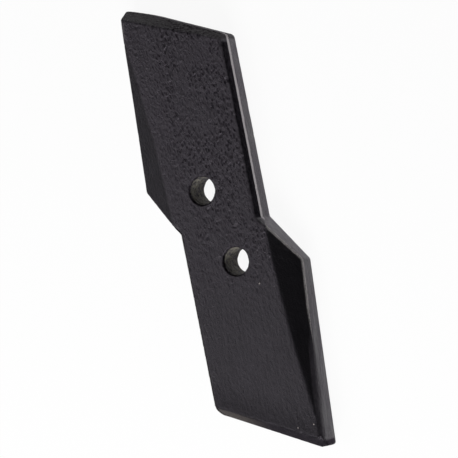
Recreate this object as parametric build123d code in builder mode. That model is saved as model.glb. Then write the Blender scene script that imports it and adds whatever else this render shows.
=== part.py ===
"""Reversible ploughshare point: one forged and painted steel plate.

Units are millimetres and degrees. The plate lies on its flat back face, with
+Z up out of its working face and the origin on the back face, midway between
the two bolt holes. The straight sides run along Y. Turned half round about Z,
the outline falls on itself, so a worn tip can be swapped for the fresh one.
"""
import os
from math import cos, radians, sin, tan

from build123d import *

os.makedirs("parts", exist_ok=True)

# Plate
thickness = 15.0
draft_angle = 3.0  # the forged walls lean outwards from the back face up

# Outline of the back face, measured from the midpoint between the bolts
long_corner_height = 119.0  # the long corner of a tip
long_corner_offset = 32.6
short_corner_height = 93.3  # the short corner of a tip
straight_side_offset = 21.5  # the straight side that runs down to the notch
shoulder_offset = 39.7  # the widest place, where the wing side starts
shoulder_drop = 25.0

# Upright corners
upper_long_corner_radius = 3.5
upper_short_corner_radius = 3.0
lower_long_corner_radius = 2.6
lower_short_corner_radius = 4.0
shoulder_radius = 2.5
notch_radius = 1.2

# Wings: sloping facets between a curved ridge and the wing side
wing_slope = 22.8
ridge_beside_notch = 3.9  # the ridge line passes this far outside the notch
ridge_beside_tip = 2.2  # and ends this far outside the long corner
ridge_short_of_tip = 5.0  # and this far short of it
ridge_bow = 2.0  # how far the ridge bows into the working face
wing_edge_radius = 0.8

# Steep bands that the upper die leaves along the straight sides
band_depth = 4.8
band_inset = 0.7

# Cutting bevels of the two tips, from the wide end to the narrow one
upper_bevel_slope = 57.0
lower_bevel_slope = 38.0
upper_bevel_wide = 5.3
upper_bevel_narrow = 2.0
lower_bevel_wide = 4.8
lower_bevel_narrow = 4.4

# Bolt holes
bolt_hole_diameter = 13.5
bolt_spacing = 40.0
bolt_line_angle = 16.6  # how far the line of holes leans from the Y axis
hole_edge_radius = 0.9

long_corner = Vector(-long_corner_offset, long_corner_height)
short_corner = Vector(straight_side_offset, short_corner_height)
notch = Vector(straight_side_offset, 0)
shoulder = Vector(shoulder_offset, -shoulder_drop)
half_outline = [long_corner, short_corner, notch, shoulder]
corner_radii = [
    (long_corner, upper_long_corner_radius),
    (short_corner, upper_short_corner_radius),
    (-long_corner, lower_long_corner_radius),
    (-short_corner, lower_short_corner_radius),
    (shoulder, shoulder_radius),
    (-shoulder, shoulder_radius),
    (notch, notch_radius),
    (-notch, notch_radius),
]
tip_edge = (short_corner - long_corner).normalized()
half_turns = (0, 180)
spare = thickness  # room that the cutters reach outside the plate


def upright(part, corner):
    """The edge of the part that stands over a corner of the outline."""
    middle = corner + Vector(0, 0, thickness / 2)
    return part.edges().filter_by(lambda edge: abs(edge.tangent_at(0.5).Z) > 0.9).sort_by_distance(middle)[0]


def upper_rim(part):
    """The edges where the working face and the wings meet the walls."""
    upward = part.faces().filter_by(lambda face: face.normal_at().Z > 0.5)
    counts = [(edge, sum(edge.is_same(other) for other in upward.edges())) for edge in upward.edges()]
    return ShapeList(edge for edge, count in counts if count == 1)


with BuildPart() as share_point:
    # Forged blank with its leaning walls and rounded corners
    with BuildSketch():
        with BuildLine():
            Polyline(*half_outline, *[-corner for corner in half_outline], close=True)
        make_face()
    extrude(amount=thickness, taper=-draft_angle)
    for corner, radius in corner_radii:
        fillet(upright(share_point, corner), radius)

    # Wings, ruled sideways and down from the ridge
    ridge_start = notch + Vector(ridge_beside_notch, 0)
    ridge_end = -long_corner + Vector(ridge_beside_tip, ridge_short_of_tip)
    outside = Vector(shoulder_offset + spare, 0)
    downhill = Vector(cos(radians(wing_slope)), 0, -sin(radians(wing_slope)))
    for turn in half_turns:
        with BuildSketch(Plane.XY.offset(thickness).rotated((0, 0, turn))):
            with BuildLine():
                SagittaArc(ridge_start, ridge_end, -ridge_bow)
                far_corner = Vector(outside.X, ridge_end.Y)
                Polyline(ridge_end, far_corner, outside, ridge_start)
            make_face()
        extrude(amount=2 * spare, dir=downhill.rotate(Axis.Z, turn), mode=Mode.SUBTRACT)

    # Worn upper edges, along the shoulders and the wing sides
    rim = upper_rim(share_point).filter_by(Axis.Y, reverse=True)
    fillet(rim.filter_by(Axis((0, 0, 0), tip_edge), reverse=True), wing_edge_radius)

    # Bands along the straight sides, from the notch to the tip
    parting_height = thickness - band_depth
    parting_offset = straight_side_offset + parting_height * tan(radians(draft_angle))
    for turn in half_turns:
        with BuildSketch(Plane.XZ.rotated((0, 0, turn))):
            with BuildLine():
                Polyline(
                    (parting_offset, parting_height),
                    (parting_offset - band_inset, thickness),
                    (parting_offset + spare, thickness),
                    (parting_offset + spare, parting_height),
                    close=True,
                )
            make_face()
        extrude(amount=-long_corner_height, mode=Mode.SUBTRACT)

    # Cutting bevels, ground across both tips
    inward = tip_edge.rotate(Axis.Z, -90)
    up = Vector(0, 0, 1)
    bevels = [
        (upper_bevel_wide, upper_bevel_narrow, upper_bevel_slope),
        (lower_bevel_wide, lower_bevel_narrow, lower_bevel_slope),
    ]
    for turn, (wide, narrow, slope) in zip(half_turns, bevels):
        start = (long_corner + inward * wide).rotate(Axis.Z, turn)
        end = (short_corner + inward * narrow).rotate(Axis.Z, turn)
        along = (end - start).normalized()
        outward = along.rotate(Axis.Z, 90)
        facing = outward * sin(radians(slope)) + up * cos(radians(slope))
        split(bisect_by=Plane(start + up * thickness, x_dir=along, z_dir=facing), keep=Keep.BOTTOM)

    # Bolt holes, straight through, with worn mouths
    bolt_radius = bolt_hole_diameter / 2
    bolt = Vector(0, bolt_spacing / 2).rotate(Axis.Z, bolt_line_angle)
    with Locations(bolt, -bolt):
        Hole(bolt_radius)
    rings = share_point.edges().filter_by(GeomType.CIRCLE)
    fillet(rings.filter_by(lambda ring: abs(ring.radius - bolt_radius) < 0.01), hole_edge_radius)

share_point.part.label = "share_point"
export_step(share_point.part, "parts/share_point.step")
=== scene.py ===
"""Looks of the reversible ploughshare point: its forged, painted surface and the studio around it.

The plate lies on its flat back face on the floor, with +Z up out of its working face and the origin
on the back face, midway between the two bolt holes. Lengths are metres, as everywhere in Blender.
"""

from math import cos, pi, radians, sin, tan

import bpy
import numpy as np
from bpy.props import FloatProperty, FloatVectorProperty, PointerProperty
from mathutils import Matrix, Vector


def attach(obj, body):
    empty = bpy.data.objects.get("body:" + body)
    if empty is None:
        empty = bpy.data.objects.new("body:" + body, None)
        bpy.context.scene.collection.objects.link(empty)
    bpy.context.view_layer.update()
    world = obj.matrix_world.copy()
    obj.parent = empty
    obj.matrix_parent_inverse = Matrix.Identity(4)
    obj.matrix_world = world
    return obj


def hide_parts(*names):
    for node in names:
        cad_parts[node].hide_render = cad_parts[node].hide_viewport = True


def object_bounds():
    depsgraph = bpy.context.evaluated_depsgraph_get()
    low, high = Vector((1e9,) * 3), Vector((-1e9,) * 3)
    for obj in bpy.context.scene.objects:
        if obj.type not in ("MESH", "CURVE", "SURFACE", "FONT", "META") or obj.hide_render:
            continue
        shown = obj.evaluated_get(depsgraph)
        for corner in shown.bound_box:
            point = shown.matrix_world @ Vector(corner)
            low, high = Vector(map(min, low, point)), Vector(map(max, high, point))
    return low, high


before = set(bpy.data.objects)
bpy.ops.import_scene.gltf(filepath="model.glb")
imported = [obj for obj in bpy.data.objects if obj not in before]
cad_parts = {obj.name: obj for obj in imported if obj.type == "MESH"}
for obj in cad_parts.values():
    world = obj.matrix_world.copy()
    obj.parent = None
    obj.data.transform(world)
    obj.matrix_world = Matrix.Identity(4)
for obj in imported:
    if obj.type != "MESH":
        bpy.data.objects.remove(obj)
CAD_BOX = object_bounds()

bl_info = {
    "name": "Ploughshare Point",
    "version": (1, 0, 0),
    "blender": (4, 5, 0),
    "location": "3D View > Sidebar > Share",
    "description": "Builds the forged surface, the paint and the studio of a reversible ploughshare point",
    "category": "Object",
}

MM = 0.001
CORNER_STEPS = 6  # even, because the middle of a tip corner is a corner of the grids
# How far forging and wear have moved each corner of the outline, clockwise from the upper long corner
CORNER_SHIFTS = MM * np.array(
    ((0.4, 0), (0.3, 0.3), (0.5, 0), (0.1, 0), (1.5, -0.1), (0.4, 1.1), (0, 0), (0, 0))
)
# Worn flats of the upper long corner: the heading of each in degrees, and its distance from the origin
WORN_FLATS = ((67.8, 97.17), (70.0, 99.55), (126.5, 113.99), (144.4, 95.77))


def length(name, description, default):
    return FloatProperty(
        name=name, description=description, default=default, unit="LENGTH", subtype="DISTANCE"
    )


def angle(name, description, default):
    return FloatProperty(name=name, description=description, default=radians(default), subtype="ANGLE")


def power(name, description, default):
    return FloatProperty(name=name, description=description, default=default, unit="POWER")


def share(name, description, default):
    return FloatProperty(name=name, description=description, default=default, min=0, max=1, subtype="FACTOR")


def colour(name, description, default):
    return FloatVectorProperty(
        name=name, description=description, default=default, min=0, max=1, subtype="COLOR"
    )


class PlateSizes(bpy.types.PropertyGroup):
    """Sizes of the forged plate, as the solid has them."""

    thickness: length("Thickness", "Thickness of the plate", 15 * MM)
    draft: angle("Draft", "Outward lean of the forged walls", 3)
    long_corner_height: length("Long Corner Height", "Height of a long corner above the middle", 119 * MM)
    long_corner_offset: length("Long Corner Offset", "Side offset of a tip's long corner", 32.6 * MM)
    short_corner_height: length("Short Corner Height", "Height of a short corner above the middle", 93.3 * MM)
    side_offset: length("Straight Side Offset", "Offset of the side that runs down to the notch", 21.5 * MM)
    shoulder_offset: length("Shoulder Offset", "Offset of the widest place", 39.7 * MM)
    shoulder_drop: length("Shoulder Drop", "Drop of the widest place below the notch", 25 * MM)
    worn_outset: length("Worn Outset", "Outset of the outline before the marks cut into it", 0.12 * MM)
    upper_wing_slope: angle("Upper Wing Slope", "Slope of the wing below the upper tip", 19.5)
    lower_wing_slope: angle("Lower Wing Slope", "Slope of the wing above the lower tip", 22.8)
    ridge_start: length("Ridge Start", "Offset of the ridge level with the notch", 25.4 * MM)
    ridge_end: length("Ridge End", "Offset of the ridge at the tip", 34.8 * MM)
    ridge_length: length("Ridge Length", "Length of the ridge along the plate", 114 * MM)
    ridge_bow: length("Ridge Bow", "How far the ridge bows into the working face", 2 * MM)
    parting_height: length("Parting Height", "Height of the parting edge above the back face", 10.2 * MM)
    parting_rise: length("Parting Rise", "How much higher the parting edge is at the notch", 0.8 * MM)
    band_inset: length("Band Inset", "How far the band above the parting edge leans in", 0.75 * MM)
    left_band_inset: length("Left Band Inset", "How far the band of the lower left side leans in", 0.15 * MM)
    upper_bevel_slope: angle("Upper Bevel Slope", "Slope of the upper cutting bevel", 57)
    lower_bevel_slope: angle("Lower Bevel Slope", "Slope of the lower cutting bevel", 38)
    upper_bevel: length("Upper Bevel", "Width of the upper bevel at the long corner", 5.3 * MM)
    upper_bevel_end: length("Upper Bevel End", "Width of the upper bevel at the short corner", 2.0 * MM)
    lower_bevel: length("Lower Bevel", "Width of the lower bevel at the long corner", 4.8 * MM)
    lower_bevel_end: length("Lower Bevel End", "Width of the lower bevel at the short corner", 4.4 * MM)
    worn_round: length("Worn Round", "Fall of the worn right edge by the lower tip", 2.4 * MM)
    bolt_radius: length("Bolt Hole Radius", "Radius of the bolt holes", 6.75 * MM)
    bore_crust: length("Bore Crust", "How far scale narrows the holes towards the back face", 0.6 * MM)
    bolt_reach: length("Bolt Reach", "Distance of a bolt hole from the middle", 20 * MM)
    bolt_lean: angle("Bolt Lean", "Lean of the line of holes from the long axis", 16.6)
    mouth_radius: length("Mouth Radius", "Rounding of the worn mouths of the holes", 1.2 * MM)
    back_mouth_radius: length("Back Mouth Radius", "Rounding of the holes at the back face", 0.4 * MM)


class WearSizes(bpy.types.PropertyGroup):
    """Depths of the forging marks and wear. All of them cut into the plate."""

    waviness: length("Waviness", "Depth of the broad waves of the forged faces", 0.22 * MM)
    hammering: length("Hammering", "Depth of the finer dents of the forged faces", 0.16 * MM)
    pitting: length("Pitting", "Depth of the scale pits", 0.32 * MM)
    bore_roughness: length("Bore Roughness", "Depth of the rough walls of the holes", 0.40 * MM)
    nicks: length("Nicks", "Depth of the nicks along the parting edges", 0.22 * MM)


class PaintFinish(bpy.types.PropertyGroup):
    """Colours and sheen of the black paint and of the bare places. The faded colour is partly a painted
    sheen, and the pale bevel colour is a painted reflection.
    """

    paint: colour("Paint", "Black of the paint", (0.0046, 0.0044, 0.0056))
    # Partly real fading, partly a painted sheen on the upper working face.
    faded_and_sheen: colour("Faded Paint", "Paint of the working face, where it has faded", (0.0310, 0.0262, 0.0335))
    scale_grey: colour("Scale Grey", "Rough forging scale inside the bolt holes", (0.170, 0.160, 0.128))
    ground: colour("Ground Bevel", "Thinly painted steel of the ground bevels", (0.0150, 0.0128, 0.0112))
    # A painted reflection: the pale near end of the lower bevel.
    bevel_reflection: colour("Rubbed Bevel", "Pale rubbed end of the lower bevel", (0.062, 0.054, 0.045))
    chip: colour("Chip", "Pale primer in the chips of the paint", (0.42, 0.38, 0.36))
    steel: colour("Bare Steel", "Steel where the paint is rubbed off", (0.40, 0.38, 0.38))
    roughness: share("Roughness", "Roughness of the sound paint", 0.34)


class StudioLevels(bpy.types.PropertyGroup):
    """Floor, lamps and camera of the studio."""

    floor: colour("Floor", "Colour of the floor", (0.90, 0.90, 0.90))
    floor_glow: share("Floor Glow", "How white the camera and reflections see the floor", 0.93)
    surround: share("Surround", "Brightness of the room", 0.04)
    window: power("Window", "Power of the soft panel at the left", 4.1)
    lamp: power("Lamp", "Power of the lamp beyond the lower tip", 17.0)
    camera_distance: length("Camera Distance", "Distance from the camera to the plate", 1.66734)
    camera_azimuth: angle("Camera Azimuth", "Azimuth of the camera", -6.1334)
    camera_elevation: angle("Camera Elevation", "Elevation of the camera", 61.4202)
    camera_roll: angle("Camera Roll", "Roll of the camera about its line of sight", -95.5908)
    lens: FloatProperty(
        name="Lens", description="Focal length on a 36 mm frame", default=258.37, unit="CAMERA"
    )


# Shape of the plate


def soft_min(low, high, width):
    """The lower of two heights, with the crease between them rounded off.

    Within `width` of each other the lower one loses (width - gap)^2 / (4 width)."""
    gap = np.clip(width - np.abs(low - high), 0, None)
    return np.minimum(low, high) - gap * gap / (4 * width)


def ramp(value, start, end):
    """0 before start, 1 after end, and the cubic 3t^2 - 2t^3 between them."""
    t = np.clip((value - start) / (end - start), 0, 1)
    return t * t * (3 - 2 * t)


def value_noise(points, cell, seed):
    """Smooth noise from 0 to 1: random heights on a lattice of the given cell, blended by 3t^2 - 2t^3."""
    heights = np.random.default_rng(seed).random(8191)
    base = np.floor(points / cell).astype(np.int64)
    part = points / cell - base
    blend = part * part * (3 - 2 * part)
    total = np.zeros(len(points))
    for corner in np.ndindex((2,) * points.shape[1]):
        place = (base + corner) @ np.array((73856093, 19349663, 83492791))[: points.shape[1]]
        total += heights[place % 8191] * np.where(corner, blend, 1 - blend).prod(axis=1)
    return total


def outline_corners(size):
    """The eight corners of the outline, clockwise from the long corner of the upper tip."""
    half = np.array([
        (-size.long_corner_offset, size.long_corner_height),
        (size.side_offset, size.short_corner_height),
        (size.side_offset, 0),
        (size.shoulder_offset, -size.shoulder_drop),
    ])
    return np.vstack((half, -half)) + CORNER_SHIFTS


def outline_loop(size, outset):
    """The outline of the back face moved out by `outset`, as points, and where each point lies on it.

    Each straight run is divided evenly, and each corner is the arc centre + radius * n, where n turns
    from one side's outward normal to the next. The place is the corner's number on an arc, and rises
    by one along the run to the next corner. The loop starts and ends in the middle of corner 0. Last,
    what stands out past a worn flat is pressed back to it."""
    corners = outline_corners(size)
    radii = np.array((1.0, 3.0, -1.2, 2.5, 1.4, 6.0, -1.6, 2.5)) * MM  # below zero where the corner is hollow
    steps = (72, 112, 26, 112) * 2
    run = np.roll(corners, -1, axis=0) - corners
    run /= np.linalg.norm(run, axis=1)[:, None]
    after = np.stack((-run[:, 1], run[:, 0]), axis=1)
    before = np.roll(after, 1, axis=0)
    bisector = (before + after) / (1 + (before * after).sum(axis=1))[:, None]
    centres = corners + (outset - radii[:, None]) * bisector
    turn = np.arctan2(before[:, 0] * after[:, 1] - before[:, 1] * after[:, 0], (before * after).sum(axis=1))
    part = np.linspace(0, 1, CORNER_STEPS + 1)[None, :] * turn[:, None]
    square = np.stack((-before[:, 1], before[:, 0]), axis=1)
    normal = np.cos(part)[..., None] * before[:, None] + np.sin(part)[..., None] * square[:, None]
    arcs = centres[:, None] + radii[:, None, None] * normal
    points, places = [arcs[0, CORNER_STEPS // 2:]], [np.zeros(CORNER_STEPS // 2 + 1)]
    for corner, count in enumerate(steps):
        following = (corner + 1) % 8
        t = np.linspace(0, 1, count + 1)[1:-1]
        points.append(arcs[corner, -1] + t[:, None] * (arcs[following, 0] - arcs[corner, -1]))
        places.append(corner + t)
        last = CORNER_STEPS // 2 + 1 if following == 0 else CORNER_STEPS + 1
        points.append(arcs[following, :last])
        places.append(np.full(last, corner + 1.0))
    loop = np.vstack(points)
    for heading, reach in WORN_FLATS:
        facing = np.array((cos(radians(heading)), sin(radians(heading))))
        past = np.clip(loop @ facing - reach * MM - outset, 0, None)
        loop -= past[:, None] * facing
    return loop, np.concatenate(places)


def working_height(size, x, y):
    """Height of the working side over the back face: the lowest of the face, the wings and the bevels.

    A wing falls sideways from the ridge, which is the chord between its ends less a parabola. A bevel
    falls outwards from a line whose distance from the tip edge changes evenly along the tip."""
    height = np.full_like(x, size.thickness)
    corners = outline_corners(size)
    along_tip = corners[1] - corners[0]
    tip_length = np.linalg.norm(along_tip)
    along_tip = along_tip / tip_length
    halves = (
        (1, size.lower_wing_slope, size.upper_bevel, size.upper_bevel_end, size.upper_bevel_slope),
        (-1, size.upper_wing_slope, size.lower_bevel, size.lower_bevel_end, size.lower_bevel_slope),
    )
    for half, wing_slope, wide, narrow, bevel_slope in halves:
        u, v = half * x, half * y
        t = -v / size.ridge_length
        ridge = size.ridge_start + (size.ridge_end - size.ridge_start) * t - 4 * size.ridge_bow * t * (1 - t)
        wing = size.thickness - (u - ridge) * tan(wing_slope)
        height = soft_min(height, wing, 0.5 * MM)
        du, dv = u - corners[0, 0], v - corners[0, 1]
        t = np.clip((du * along_tip[0] + dv * along_tip[1]) / tip_length, 0, 1)
        depth = du * along_tip[1] - dv * along_tip[0]
        inner = wide + (narrow - wide) * t
        bevel = size.thickness - (inner - depth) * tan(bevel_slope)
        height = soft_min(height, bevel, 0.7 * MM)
    return height


def rim_height(size, loop, rate, place, outset):
    """Height of the working side at an outset from the outline, with the bands of the straight sides.

    A band climbs steeply inwards from the parting edge to a ragged top, and fades out along the shoulder.
    The right wing side is worn round towards the lower tip: its last 2.2 mm fall away as a parabola."""
    worn_width = 2.2 * MM
    spot = loop + outset[:, None] * rate
    height = working_height(size, spot[:, 0], spot[:, 1])
    side = place % 4
    missing = ramp(side, 1.0, 0.97) * (side < 1) + ramp(side, 2.05, 2.5) * (side >= 2)
    to_notch = np.clip(side - 1, 0, 1)
    parting_height = size.parting_height + size.parting_rise * to_notch
    ragged = size.band_inset * (0.65 + 0.7 * value_noise(loop, 2.0 * MM, 9) + 0.4 * to_notch)
    inset = np.where(place < 4, ragged, size.left_band_inset)
    steep = (size.thickness - parting_height) / inset
    band = parting_height + (parting_height * tan(size.draft) - outset) * steep + missing * size.thickness
    height = soft_min(height, band, 0.3 * MM)
    near_edge = np.clip(1 + (outset - height * tan(size.draft)) / worn_width, 0, 1)
    return height - size.worn_round * near_edge**2 * ramp(place, 3.25, 3.75) * (place <= 4)


def rim_strip(size):
    """The strip round the plate: in from the top edge, over it, down the leaning wall and under the foot.

    With it come each column's place on the outline and each point's depth below the edge. The rows are
    carried round the outline. Rows are close together at both edges, and a row-to-row
    average (1 2 1) / 4, repeated more often where the edge is more worn, rounds the edges off."""
    loop, place = outline_loop(size, size.worn_outset)
    rate = outline_loop(size, size.worn_outset + 1)[0] - loop
    lean = tan(size.draft)
    top_z = np.full(len(loop), size.thickness)
    for _ in range(4):
        top_z = rim_height(size, loop, rate, place, top_z * lean)
    fine = np.array((0.15, 0.3, 0.45, 0.6, 0.8, 1.05, 1.35)) * MM
    insets = np.concatenate(((3.0 * MM, 2.5 * MM, 2.1 * MM, 1.7 * MM), fine[::-1], (0.0,)))
    rows = []
    for inset in insets:
        outset = top_z * lean - inset
        spot = loop + outset[:, None] * rate
        rows.append(np.column_stack((spot, rim_height(size, loop, rate, place, outset))))
    middle = np.linspace(0, 1, 10)[1:-1]
    for drop in list(fine) + list(middle) + list(-fine[::-1]) + [0.0]:
        if drop in middle:
            z = top_z - fine[-1] - (top_z - 2 * fine[-1]) * drop
        else:
            z = top_z - drop if drop > 0 else -drop + 0 * top_z
        rows.append(np.column_stack((loop + (z * lean)[:, None] * rate, z)))
    for inset in np.concatenate((fine, (1.8 * MM, 2.4 * MM, 3.0 * MM))):
        rows.append(np.column_stack((loop - inset * rate, 0 * top_z)))
    strip = np.array(rows)
    crisp_turns, worn_turns = 4, 30
    crisp, worn = strip, strip
    for turn in range(worn_turns):
        blurred = worn.copy()
        blurred[1:-1] = (worn[:-2] + 2 * worn[1:-1] + worn[2:]) / 4
        worn = blurred
        if turn + 1 == crisp_turns:
            crisp = worn
    side = place % 4
    soft = np.where((side >= 1) & (side <= 2), 0.08, 0.35) + 0.65 * ramp(place, 3.1, 3.7) * (place <= 4)
    soft = np.convolve(np.concatenate((soft[-6:], soft, soft[:6])), np.ones(13) / 13, "valid")
    foot = np.arange(len(strip)) > len(strip) - 14
    rounded = crisp + (soft * np.where(foot, 0.20, 1.0)[:, None])[..., None] * (worn - crisp)
    ends = np.clip(np.minimum(np.arange(len(strip)), np.arange(len(strip))[::-1]) / 3, 0, 1)[:, None, None]
    rounded = strip + ends * (rounded - strip)
    return rounded[:, :-1], place[:-1], (top_z - strip[..., 2])[:, :-1]


def patch_between(top, right, bottom, left):
    """A grid of points over four border lines: the two straight blends of opposite borders added,
    less the blend of the four corners. Borders run left to right and top to bottom."""
    s = np.linspace(0, 1, len(top))[None, :, None]
    t = np.linspace(0, 1, len(left))[:, None, None]
    across = (1 - s) * left[:, None] + s * right[:, None]
    down = (1 - t) * top[None] + t * bottom[None]
    corners = (1 - t) * ((1 - s) * top[0] + s * top[-1]) + t * ((1 - s) * bottom[0] + s * bottom[-1])
    grid = across + down - corners
    grid[0], grid[-1], grid[:, 0], grid[:, -1] = top, bottom, left, right
    return grid


def border_lines(ring, columns, rows):
    """The four border lines of a grid, cut from the ring that runs clockwise round it."""
    closed = np.vstack((ring, ring[:1]))
    top, right = closed[: columns + 1], closed[columns: columns + rows + 1]
    bottom = closed[columns + rows: 2 * columns + rows + 1][::-1]
    return top, right, bottom, closed[2 * columns + rows:][::-1]


def ring_round(box):
    """Rows and columns of the grid points clockwise round the block of cells `box`, each once."""
    top, bottom, left, right = box
    down, over = np.arange(top, bottom), np.arange(left, right)
    rows = np.concatenate((0 * over + top, down, 0 * over + bottom, down[::-1] + 1))
    columns = np.concatenate((over, 0 * down + right, over[::-1] + 1, 0 * down + left))
    return rows, columns


def make_room(grid, boxes, centres):
    """Turns the border of each block into a circle round its centre by moving points along their rays.

    A point at the distance d goes to r + (d - b) * (a - r) / (a - b), where b is the border's distance
    on the same ray, r the radius of the circle and a the distance from which nothing moves."""
    circle, still = 10.6 * MM, 20 * MM
    for box, centre in zip(boxes, centres):
        spot = grid[..., :2] - centre
        distance, heading = np.hypot(spot[..., 0], spot[..., 1]), np.arctan2(spot[..., 1], spot[..., 0])
        around = ring_round(box)
        border = np.interp(heading, heading[around], distance[around], period=2 * pi)
        moved = circle + (distance - border) * (still - circle) / (still - border)
        moved = np.where(distance < still, moved, distance) / np.maximum(distance, 1e-9)
        grid[..., :2] = centre + spot * moved[..., None]


def bolt_hole(size, centre, upper_ring, lower_ring):
    """The surface through a bolt hole: in from the ring of grid points above, round the mouth, down the
    bore and out to the ring below. Each row is a circle round the axis, and its points lie at the
    angles of the ring's points."""
    phi = np.arctan2(upper_ring[:, 1] - centre[1], upper_ring[:, 0] - centre[0])
    around = np.column_stack((np.cos(phi), np.sin(phi)))
    turn = np.linspace(0, pi / 2, 7)
    lip, wall, far_wall = size.bolt_radius + 1.9 * MM, size.bolt_radius, size.bolt_radius - size.bore_crust
    mouth, far = size.mouth_radius, size.back_mouth_radius
    profile = [(lip, size.thickness), (wall + 1.5 * MM, size.thickness)]
    profile += [(wall + mouth * (1 - sin(a)), size.thickness - mouth * (1 - cos(a))) for a in turn]
    bore = np.column_stack((np.linspace(wall, far_wall, 20), np.linspace(size.thickness - mouth, far, 20)))
    profile += [*bore[1:-1]]
    profile += [(far_wall + far * (1 - sin(a)), far * (1 - cos(a))) for a in turn[::-1]]
    profile += [(wall + 1.4 * MM, 0.0), (lip, 0.0)]
    rows = [upper_ring]
    for share_in in np.linspace(0, 1, 6)[1:-1]:
        flat = upper_ring[:, :2] + share_in * (centre + lip * around - upper_ring[:, :2])
        rows.append(np.column_stack((flat, np.full(len(phi), size.thickness))))
    rows += [np.column_stack((centre + radius * around, np.full(len(phi), z))) for radius, z in profile]
    for share_out in np.linspace(0, 1, 6)[1:-1]:
        flat = centre + lip * around + share_out * (lower_ring[:, :2] - centre - lip * around)
        rows.append(np.column_stack((flat, np.zeros(len(phi)))))
    return np.array(rows + [lower_ring])


def quads(rows, columns, start, loops, flip):
    """Vertex numbers of the cells of a grid of points that starts at vertex `start`.

    With `loops` the last column joins the first. With `flip` the cells face the other way."""
    i = np.arange(rows - 1)[:, None]
    j = np.arange(columns if loops else columns - 1)[None, :]
    a, b = i * columns + j, i * columns + (j + 1) % columns
    cells = np.stack((a, b, b + columns, a + columns), axis=-1) + start
    return cells[..., ::-1] if flip else cells


def plate_surface(size):
    """Points, four-sided faces and edge-wear values of the whole plate, closed and facing outwards.

    Two grids fill the working side and the back inside the rim strip. Round each bolt hole a block of
    their cells gives way to the surface through the hole. Equal points are then made one."""
    strip, place, below = rim_strip(size)
    columns = 72 + CORNER_STEPS
    rows = len(place) // 2 - columns
    top = patch_between(*border_lines(strip[0], columns, rows))
    back = patch_between(*border_lines(strip[-1], columns, rows))
    bolt = size.bolt_reach * np.array((-sin(size.bolt_lean), cos(size.bolt_lean)))
    centres, boxes = (bolt, -bolt), []
    for centre in centres:
        reach = np.linalg.norm(top[..., :2] - centre, axis=-1)
        row, column = np.unravel_index(reach.argmin(), reach.shape)
        boxes.append((row - 12, row + 12, column - 12, column + 12))
    make_room(top, boxes, centres)
    make_room(back, boxes, centres)
    top[1:-1, 1:-1, 2] = working_height(size, top[1:-1, 1:-1, 0], top[1:-1, 1:-1, 1])
    side = place % 4
    beside_band = ramp(side, 0.96, 1.0) * ramp(side, 2.10, 2.0)
    parted = ramp(below, 0.05 * MM, 0.35 * MM) * ramp(below, 3.6 * MM, 0.9 * MM)
    exposed = 0.35 + 0.45 * ramp(place, 2.05, 2.3) * ramp(place, 3.5, 3.2)
    rim_wear = parted * beside_band + exposed * np.exp(-((below / (0.5 * MM)) ** 2)) * (1 - beside_band)
    points, wear = [strip.reshape(-1, 3)], [rim_wear.ravel()]
    faces = [quads(*strip.shape[:2], 0, True, False).reshape(-1, 4)]
    kept = np.ones((rows, columns), bool)
    holes = []
    for box, centre in zip(boxes, centres):
        kept[box[0]: box[1], box[2]: box[3]] = False
        holes.append(bolt_hole(size, centre, top[ring_round(box)], back[ring_round(box)]))
    for grid, flip in ((top, True), (back, False)):
        start = sum(map(len, points))
        faces.append(quads(*grid.shape[:2], start, False, flip)[kept])
        points.append(grid.reshape(-1, 3))
        wear.append(np.zeros(grid.shape[0] * grid.shape[1]))
    for hole in holes:
        start = sum(map(len, points))
        faces.append(quads(*hole.shape[:2], start, True, True).reshape(-1, 4))
        points.append(hole.reshape(-1, 3))
        wear.append(np.zeros(hole.shape[0] * hole.shape[1]))
    points, faces, wear = np.vstack(points), np.vstack(faces), np.concatenate(wear)
    order = np.round(points / (1e-4 * MM)).astype(np.int64)
    _, first, merged = np.unique(order, axis=0, return_index=True, return_inverse=True)
    used, faces = np.unique(merged.ravel()[faces], return_inverse=True)
    return points[first][used], faces.reshape(-1, 4), wear[first][used]


def bore_closeness(size, points):
    """1 on the walls of the bolt holes, falling to 0 a few millimetres outside them."""
    centre = size.bolt_reach * np.array((-sin(size.bolt_lean), cos(size.bolt_lean)))
    reach = np.minimum(*(np.linalg.norm(points[:, :2] - half * centre, axis=1) for half in (1, -1)))
    return 1 - ramp(reach, size.bolt_radius + 0.1 * MM, size.bolt_radius + 3.5 * MM)


def forge_marks(size, depths, points, wear, wall, wing):
    """Depth of the forging marks at each point: waves and dents of noise, pits where a fine noise rises
    past a threshold that is lower in the upper and middle plate, rough bores and nicked edges.
    Walls and wings, which the dies left smoother, have shallower marks."""
    near_bore = bore_closeness(size, points)
    in_bore = ramp(near_bore, 0.88, 1.0)
    upper = ramp(points[:, 1], -0.060, -0.005)
    depth = depths.waviness * value_noise(points, 24 * MM, 1)
    dents = value_noise(points, 2.6 * MM, 2) * 0.65 + value_noise(points, 1.5 * MM, 3) * 0.35
    depth += depths.hammering * dents * (0.30 + 0.70 * upper)
    pits = ramp(value_noise(points, 1.9 * MM, 4), 0.74 - 0.10 * upper - 0.05 * near_bore, 0.97)
    patches = value_noise(points, 17 * MM, 5)
    depth += depths.pitting * pits * (0.25 + 0.75 * upper) * ramp(patches, 0.2, 0.7)
    depth *= (1 - 0.55 * wall) * (1 - 0.6 * wing)
    rough = value_noise(points, 2.3 * MM, 6) * 0.6 + value_noise(points, 1.1 * MM, 7) * 0.4
    depth += depths.bore_roughness * in_bore * rough
    nicks = ramp(value_noise(points, 1.6 * MM, 8), 0.62, 0.95)
    return depth + depths.nicks * wear * nicks


# Shader maths


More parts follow.
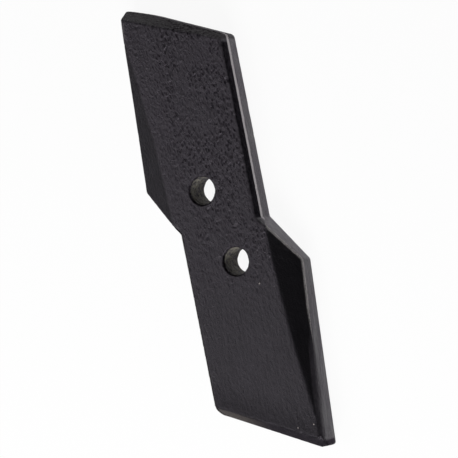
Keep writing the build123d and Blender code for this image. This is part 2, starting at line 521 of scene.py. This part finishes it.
class Reckoning:
    """A shader value in an expression: each operator adds its Math node."""

    def __init__(self, nodes, socket):
        self.nodes, self.socket = nodes, socket

    def math(self, operation, *values):
        sockets = {number: value for number, value in enumerate(values)}
        node = self.nodes.add("ShaderNodeMath", {"operation": operation}, sockets)
        return Reckoning(self.nodes, node.outputs[0])

    def __add__(self, other):
        return self.math("ADD", self, other)

    def __sub__(self, other):
        return self.math("SUBTRACT", self, other)

    def __rsub__(self, other):
        return self.math("SUBTRACT", other, self)

    def __mul__(self, other):
        return self.math("MULTIPLY", self, other)

    __radd__, __rmul__ = __add__, __mul__

    def rise(self, start, end):
        """0 before start and 1 after end, smooth between them."""
        settings = {"interpolation_type": "SMOOTHSTEP"}
        values = {"Value": self, "From Min": start, "From Max": end}
        return Reckoning(self.nodes, self.nodes.add("ShaderNodeMapRange", settings, values).outputs[0])


class FinishNodes:
    """The node tree of a material."""

    def __init__(self, name):
        self.material = bpy.data.materials.new(name)
        self.material.use_nodes = True
        self.tree = self.material.node_tree
        self.tree.nodes.clear()

    def add(self, kind, settings=None, sockets=None):
        """Adds a node: its settings first, then a value or a link for each socket named or numbered."""
        node = self.tree.nodes.new(kind)
        for key, value in (settings or {}).items():
            setattr(node, key, value)
        for key, value in (sockets or {}).items():
            value = value.socket if isinstance(value, Reckoning) else value
            if isinstance(value, bpy.types.NodeSocket):
                self.tree.links.new(value, node.inputs[key])
            else:
                node.inputs[key].default_value = value
        return node

    def value(self, socket):
        return Reckoning(self, socket)

    def attribute(self, name):
        return self.value(self.add("ShaderNodeAttribute", {"attribute_name": name}).outputs["Fac"])

    def noise(self, where, scale, detail, roughness):
        sockets = {"Vector": where, "Scale": scale, "Detail": detail, "Roughness": roughness}
        return self.value(self.add("ShaderNodeTexNoise", {"noise_dimensions": "3D"}, sockets).outputs[0])

    def mix(self, share_of_second, first, second):
        sockets = {"Factor": share_of_second, 6: first, 7: second}
        return self.add("ShaderNodeMix", {"data_type": "RGBA"}, sockets).outputs[2]


ZONES = ("edge_wear", "bore", "mouth", "bevel", "band", "wing", "wall")
# Pale chips of the paint: the place and the radius of each in mm
CHIPS = ((16.6, -32.6, 0.34), (31.5, -106.7, 0.30), (22.5, -107.0, 0.26))


def opaque(rgb):
    return (*rgb, 1.0)


def black_paint(finish):
    """Semi-gloss black paint over forging scale, thin on the ground bevels and rubbed off the edges, with
    painted light: a painted sheen on the upper working face, a painted reflection on the lower bevel, and
    painted shade on the wings, bands, pits, hole mouths and lower bevel.
    """
    nodes = FinishNodes("black_paint")
    place = nodes.add("ShaderNodeTexCoord").outputs["Object"]
    split = nodes.add("ShaderNodeSeparateXYZ", None, {0: place})
    x, y = nodes.value(split.outputs[0]), nodes.value(split.outputs[1])
    wear, bore, mouth, bevel, band, wing, wall = (nodes.attribute(name) for name in ZONES)

    drawn = nodes.add("ShaderNodeMapping", None, {0: place, "Scale": (1.0, 0.55, 1.0)}).outputs[0]
    grain = nodes.noise(drawn, 900, 3, 0.6)
    fine = nodes.noise(place, 2300, 2, 0.6)
    patches = nodes.noise(place, 45, 3, 0.55)
    crust = nodes.noise(place, 520, 3, 0.6)
    stretched = nodes.add("ShaderNodeMapping", None, {0: place, "Scale": (1.0, 0.12, 0.5)}).outputs[0]
    streaks = nodes.noise(stretched, 520, 3, 0.6)
    upper = 0.65 * y.rise(-0.060, 0.0) + 0.35 * y.rise(-0.010, 0.080)
    lower_tip = 1 - y.rise(-0.100, -0.080)
    lower_edge = 1 - (y + 0.475 * x).rise(-0.102, -0.080)

    cells = {"Vector": drawn, "Scale": 720.0, "Smoothness": 0.5}
    pit_cells = nodes.add("ShaderNodeTexVoronoi", {"feature": "SMOOTH_F1"}, cells)
    pits = 1 - nodes.value(pit_cells.outputs["Distance"]).rise(0.18, 0.68)
    smooth_side = 0.25 + 0.75 * x.rise(-0.030, -0.006)
    pocked = (0.10 + 0.90 * upper) * patches.rise(0.30, 0.56) * smooth_side * (1 - wall) * (1 - wing)
    open_pits = pits * grain.rise(0.38, 0.58) * pocked

    # Painted sheen and painted shade: the faded colour grows towards the upper plate as a painted sheen. Its
    # patches and streaks are real fading. It is kept off the wings and bands as painted shade.
    faded_and_sheen = (0.20 + 0.46 * upper + 0.35 * (patches - 0.5) + 0.25 * (streaks - 0.5)) * (1 - wing) * (1 - band)
    base = nodes.mix(faded_and_sheen, opaque(finish.paint), opaque(finish.faded_and_sheen))
    # Painted shade: the far end of the lower bevel keeps the black paint instead of the ground colour.
    shaded_end = lower_tip * x.rise(-0.016, 0.010)
    base = nodes.mix(bevel * (0.45 + 0.4 * patches) * (1 - shaded_end), base, opaque(finish.ground))
    # Painted reflection: a pale colour on the near end of the lower bevel, broken by fine noise.
    painted_reflection_end = bevel * (lower_tip - shaded_end) * fine.rise(0.35, 0.55)
    base = nodes.mix(painted_reflection_end * 0.8, base, opaque(finish.bevel_reflection))
    crusted = bore * (0.10 + 0.90 * crust.rise(0.40, 0.56))
    base = nodes.mix(crusted, base, opaque(finish.scale_grey))
    rubbed = (wear * (0.30 + fine.rise(0.30, 0.62) + 0.35 * streaks + 0.25 * patches)).rise(0.42, 0.90)
    base = nodes.mix(rubbed, base, opaque(finish.steel))
    squashed = nodes.add("ShaderNodeMapping", None, {0: place, "Scale": (1.0, 1.0, 0.2)}).outputs[0]
    chips = 0.0
    for x_mm, y_mm, radius in CHIPS:
        spot = (x_mm * MM, y_mm * MM, 3 * MM)
        gap = nodes.add("ShaderNodeVectorMath", {"operation": "DISTANCE"}, {0: squashed, 1: spot})
        apart = nodes.value(gap.outputs["Value"])
        chips = chips + (1 - apart.rise(0.7 * radius * MM, 1.3 * radius * MM))
    base = nodes.mix(chips, base, opaque(finish.chip))

    roughness = finish.roughness + 0.16 * (patches - 0.5) + 0.15 * open_pits + 0.28 * bore + 0.28 * bevel
    roughness = roughness + 0.10 * (streaks - 0.5) + 0.25 * band
    open_grain = (0.36 + 0.64 * upper) * (1 - 0.7 * wall) * (1 - 0.6 * wing)
    height = 3.8 * grain * open_grain + 0.7 * fine + 0.9 * streaks * (1 - upper) + 0.9 * streaks * wall
    height = height - 2.1 * open_pits + 3.0 * crust * bore
    # Painted shade through a near-black metal finish: the lower bevel and its far end, the hole mouths, the
    # lower tip's edge zone, the bands, the wings and the pits are darkened. The streaks on the walls are real
    # variation.
    bevel_shade = bevel * (0.42 * lower_tip + 0.44 * shaded_end)
    dull_wall = wall * (0.40 * streaks.rise(0.36, 0.62) + 0.15 * grain)
    mouth_shade = mouth * crust.rise(0.30, 0.55) * 0.8
    lower_edge_shade = 0.42 * lower_edge * (1 - bevel) * (1 - wall)
    dull_and_shade = band * 0.95 + open_pits * 0.88 + wing * 0.54 + mouth_shade + bevel_shade + dull_wall + lower_edge_shade
    bump = nodes.add("ShaderNodeBump", None, {"Strength": 1.0, "Distance": 0.00026, "Height": height})
    sockets = {
        "Base Color": base,
        "Metallic": rubbed * 0.60 + dull_and_shade * (1 - rubbed),
        "Roughness": roughness,
        "IOR": 1.5,
        "Specular Tint": (0.97, 0.90, 1.0, 1.0),
        "Normal": bump.outputs[0],
    }
    shader = nodes.add("ShaderNodeBsdfPrincipled", None, sockets)
    nodes.add("ShaderNodeOutputMaterial", None, {"Surface": shader.outputs[0]})
    return nodes.material


def floor_finish(studio):
    """Matt pale floor. The camera and reflections see it mostly white, with the shadows still on it."""
    nodes = FinishNodes("studio_floor")
    path = nodes.add("ShaderNodeLightPath")
    seen = nodes.value(path.outputs["Is Camera Ray"]) + nodes.value(path.outputs["Is Glossy Ray"])
    seen = seen + nodes.value(path.outputs["Is Transmission Ray"])
    matt = nodes.add("ShaderNodeBsdfDiffuse", None, {"Color": opaque(studio.floor)})
    white = nodes.add("ShaderNodeEmission", None, {"Color": (1.0, 1.0, 1.0, 1.0), "Strength": 1.0})
    shaders = {0: seen * studio.floor_glow, 1: matt.outputs[0], 2: white.outputs[0]}
    both = nodes.add("ShaderNodeMixShader", None, shaders)
    nodes.add("ShaderNodeOutputMaterial", None, {"Surface": both.outputs[0]})
    return nodes.material


# Operators


class SHARE_OT_forge_plate(bpy.types.Operator):
    """Make the forged and worn surface of the plate"""

    bl_idname = "share.forge_plate"
    bl_label = "Forge Plate"

    def execute(self, context):
        size, depths = context.scene.share_plate, context.scene.share_wear
        points, faces, wear = plate_surface(size)
        mesh = bpy.data.meshes.new("forged_plate")
        mesh.from_pydata(points, [], faces)
        mesh.shade_smooth()
        normals = np.empty(points.size)
        mesh.vertex_normals.foreach_get("vector", normals)
        normals = normals.reshape(-1, 3)
        height = working_height(size, points[:, 0], points[:, 1])
        tip = np.abs(points[:, 1] + points[:, 0] * (size.long_corner_height - size.short_corner_height)
                     / (size.long_corner_offset + size.side_offset))
        on_bevel = ramp(size.thickness - height, 0.25 * MM, 0.7 * MM) * ramp(tip, 92 * MM, 98 * MM)
        on_bevel *= ramp(points[:, 2], 0.5 * MM, 2.5 * MM)
        on_band = ramp(normals[:, 2], 0.05, 0.12) * ramp(normals[:, 2], 0.76, 0.46)
        on_band *= (1 - ramp(tip, 100 * MM, 101 * MM)) * (points[:, 0] * points[:, 1] > 0)
        on_wing = ramp(size.thickness - height, 0.05 * MM, 0.4 * MM) * (1 - on_bevel)
        on_wing *= ramp(normals[:, 2], 0.80, 0.88)
        near_bore = bore_closeness(size, points)
        in_bore = ramp(near_bore, 0.985, 1.0) * ramp(points[:, 2], 14.0 * MM, 12.8 * MM)
        on_mouth = ramp(near_bore, 0.80, 0.93) * ramp(points[:, 2], 13.0 * MM, 13.8 * MM)
        on_wall = ramp(np.abs(normals[:, 2]), 0.30, 0.12) * (1 - in_bore)
        marks = forge_marks(size, depths, points, wear, on_wall, on_wing)
        points = points - normals * (marks - marks.min())[:, None]
        points = np.clip(points, *CAD_BOX)
        mesh.vertices.foreach_set("co", points.ravel())
        for name, numbers in zip(ZONES, (wear, in_bore, on_mouth, on_bevel, on_band, on_wing, on_wall)):
            mesh.attributes.new(name, "FLOAT", "POINT").data.foreach_set("value", numbers)
        mesh.update()
        plate = bpy.data.objects.new("forged_plate", mesh)
        context.collection.objects.link(plate)
        plate.data.materials.append(black_paint(context.scene.share_paint))
        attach(plate, "root")
        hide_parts("share_point")
        return {"FINISHED"}


class SHARE_OT_set_stage(bpy.types.Operator):
    """Lay the floor and set the lamps and the camera"""

    bl_idname = "share.set_stage"
    bl_label = "Set Stage"

    def lamp(self, context, name, direction, distance, size, power):
        """A soft panel that faces the plate from a direction."""
        lamp = bpy.data.lights.new(name, "AREA")
        lamp.shape, lamp.size, lamp.size_y, lamp.energy = "RECTANGLE", *size, power
        item = bpy.data.objects.new(name, lamp)
        towards = Vector(direction).normalized()
        facing = towards.to_track_quat("Z", "Y").to_matrix().to_4x4()
        item.matrix_world = Matrix.Translation(towards * distance) @ facing
        context.collection.objects.link(item)

    def execute(self, context):
        studio = context.scene.share_studio
        mesh = bpy.data.meshes.new("floor")
        reach = 4.0
        corners = [(-reach, -reach, 0), (reach, -reach, 0), (reach, reach, 0), (-reach, reach, 0)]
        mesh.from_pydata(corners, [], [(0, 1, 2, 3)])
        floor = bpy.data.objects.new("floor", mesh)
        floor.data.materials.append(floor_finish(studio))
        context.collection.objects.link(floor)

        self.lamp(context, "window", (-0.715, 0.07, 0.695), 1.1, (1.2, 0.67), studio.window)
        self.lamp(context, "lower_lamp", (-0.05, -0.80, 0.60), 1.2, (0.9, 0.35), studio.lamp)

        world = bpy.data.worlds.new("room")
        world.use_nodes = True
        background = world.node_tree.nodes["Background"]
        background.inputs["Color"].default_value = (1.0, 1.0, 1.0, 1.0)
        background.inputs["Strength"].default_value = studio.surround
        context.scene.world = world
        context.scene.view_settings.view_transform = "Standard"

        azimuth, elevation = studio.camera_azimuth, studio.camera_elevation
        towards = Vector((cos(elevation) * cos(azimuth), cos(elevation) * sin(azimuth), sin(elevation)))
        aim = Vector((-0.002516, -0.001765, 0.0))
        camera = bpy.data.objects.new("camera", bpy.data.cameras.new("camera"))
        camera.data.sensor_fit, camera.data.sensor_width = "HORIZONTAL", 36.0
        camera.data.lens = studio.lens
        camera.matrix_world = (
            Matrix.Translation(aim + towards * studio.camera_distance)
            @ Matrix.Rotation(azimuth + pi / 2, 4, "Z")
            @ Matrix.Rotation(pi / 2 - elevation, 4, "X")
            @ Matrix.Rotation(studio.camera_roll, 4, "Z")
        )
        context.collection.objects.link(camera)
        context.scene.camera = camera
        return {"FINISHED"}


class SHARE_PT_share(bpy.types.Panel):
    """Builders of the ploughshare point"""

    bl_label = "Ploughshare Point"
    bl_space_type = "VIEW_3D"
    bl_region_type = "UI"
    bl_category = "Share"

    def draw(self, context):
        for operator in (SHARE_OT_forge_plate, SHARE_OT_set_stage):
            self.layout.operator(operator.bl_idname)


CLASSES = (
    PlateSizes,
    WearSizes,
    PaintFinish,
    StudioLevels,
    SHARE_OT_forge_plate,
    SHARE_OT_set_stage,
    SHARE_PT_share,
)
GROUPS = {
    "share_plate": PlateSizes,
    "share_wear": WearSizes,
    "share_paint": PaintFinish,
    "share_studio": StudioLevels,
}


def register():
    for item in CLASSES:
        bpy.utils.register_class(item)
    for name, group in GROUPS.items():
        setattr(bpy.types.Scene, name, PointerProperty(type=group))


def unregister():
    for name in GROUPS:
        delattr(bpy.types.Scene, name)
    for item in reversed(CLASSES):
        bpy.utils.unregister_class(item)


def main():
    register()
    bpy.ops.share.forge_plate()
    bpy.ops.share.set_stage()
    bpy.context.view_layer.update()


if __name__ == "__main__":
    main()
